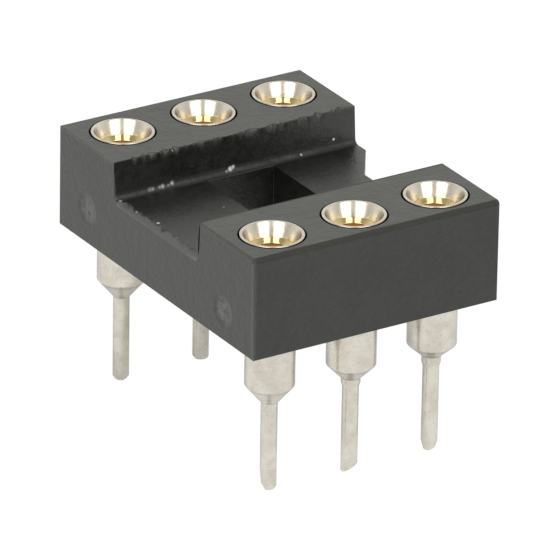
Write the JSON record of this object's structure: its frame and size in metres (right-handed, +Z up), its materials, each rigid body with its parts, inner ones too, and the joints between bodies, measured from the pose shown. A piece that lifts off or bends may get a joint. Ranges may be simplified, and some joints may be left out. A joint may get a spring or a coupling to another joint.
{
  "type": "ic socket",
  "caption": "Low dual in-line ic socket: moulded housing with two rails, recessed web, window and index notch, and turned sleeves with spring contacts and round solder tails.",
  "frame": {"origin": "middle of the pin field, in the plane where the sleeves' shoulders meet the board", "axes": "+X along a row of pins towards the index notch, +Y across the rows, +Z up, away from the board"},
  "size_m": [0.0076, 0.01, 0.0075],
  "materials": {
    "housing": "moulded glass-filled thermoplastic, black, satin",
    "sleeve": "turned brass, matt tin plated",
    "contact": "copper alloy spring strip, bright gold plated"
  },
  "bodies": {
    "root": {"housing": "housing", "sleeve_1": "sleeve", "sleeve_2": "sleeve", "sleeve_3": "sleeve", "sleeve_4": "sleeve", "sleeve_5": "sleeve", "sleeve_6": "sleeve", "contact_1": "contact", "contact_2": "contact", "contact_3": "contact", "contact_4": "contact", "contact_5": "contact", "contact_6": "contact"}
  },
  "joints": []
}
